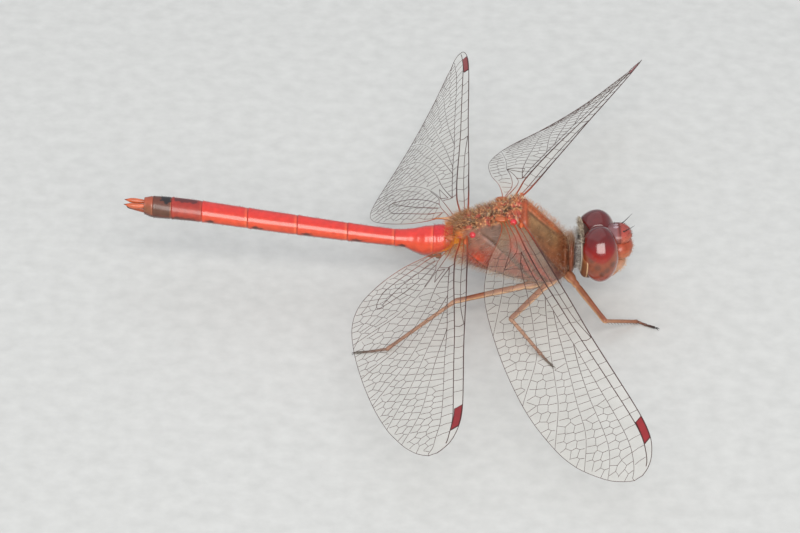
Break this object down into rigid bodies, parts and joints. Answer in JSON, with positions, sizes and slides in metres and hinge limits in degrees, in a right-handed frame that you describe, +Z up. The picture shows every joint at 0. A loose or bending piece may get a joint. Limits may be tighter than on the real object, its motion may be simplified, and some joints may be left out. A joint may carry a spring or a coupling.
{
  "type": "dragonfly",
  "caption": "Life-size red dragonfly standing on its legs with its clear wings spread, as a still museum model.",
  "frame": {"origin": "on the floor, below the middle of the box round the whole animal", "axes": "+X the way the body points, +Y the animal's left, along the spread wings, +Z up"},
  "size_m": [0.0348, 0.0506, 0.008],
  "materials": {
    "eye": "glossy, maroon-brown above, red in the middle and pinkish brown below",
    "face": "glossy red to orange-tan",
    "head": "satin brown with pale hind rims",
    "feeler": "dark, satin",
    "thorax": "olive-brown in front, reddish brown at the sides, under fine hair",
    "abdomen": "glossy red, more orange at the sides",
    "tail_tip": "glossy orange-brown with dark marks",
    "leg": "satin tan to reddish brown, darker at the feet",
    "claw": "dark, glossy",
    "wing_membrane": "clear with a faint amber tint",
    "wing_vein": "dark red-brown veins",
    "stigma": "dull red",
    "hair": "fine golden hair"
  },
  "bodies": {
    "root": {"eye_left": "eye", "eye_right": "eye", "vertex": "face", "frons": "face", "clypeus": "face", "labrum": "face", "labium": "face", "antenna_left": "feeler", "antenna_right": "feeler", "head_capsule": "head", "thorax": "thorax", "prothorax": "thorax", "abdomen_s1": "abdomen", "abdomen_s2": "abdomen", "abdomen_s3": "abdomen", "abdomen_s4": "abdomen", "abdomen_s5": "abdomen", "abdomen_s6": "abdomen", "abdomen_s7": "abdomen", "abdomen_s8": "abdomen", "abdomen_s9": "tail_tip", "abdomen_s10": "tail_tip", "genitalia": "tail_tip", "cercus_left": "tail_tip", "cercus_right": "tail_tip", "epiproct": "tail_tip", "wing_fore_left": "wing_membrane", "wing_fore_right": "wing_membrane", "wing_hind_left": "wing_membrane", "wing_hind_right": "wing_membrane", "leg_front_left_femur": "leg", "leg_front_left_tibia": "leg", "leg_front_left_tarsus": "leg", "leg_front_right_femur": "leg", "leg_front_right_tibia": "leg", "leg_front_right_tarsus": "leg", "leg_mid_left_femur": "leg", "leg_mid_left_tibia": "leg", "leg_mid_left_tarsus": "leg", "leg_mid_right_femur": "leg", "leg_mid_right_tibia": "leg", "leg_mid_right_tarsus": "leg", "leg_hind_left_femur": "leg", "leg_hind_left_tibia": "leg", "leg_hind_left_tarsus": "leg", "leg_hind_right_femur": "leg", "leg_hind_right_tibia": "leg", "leg_hind_right_tarsus": "leg"}
  },
  "joints": []
}
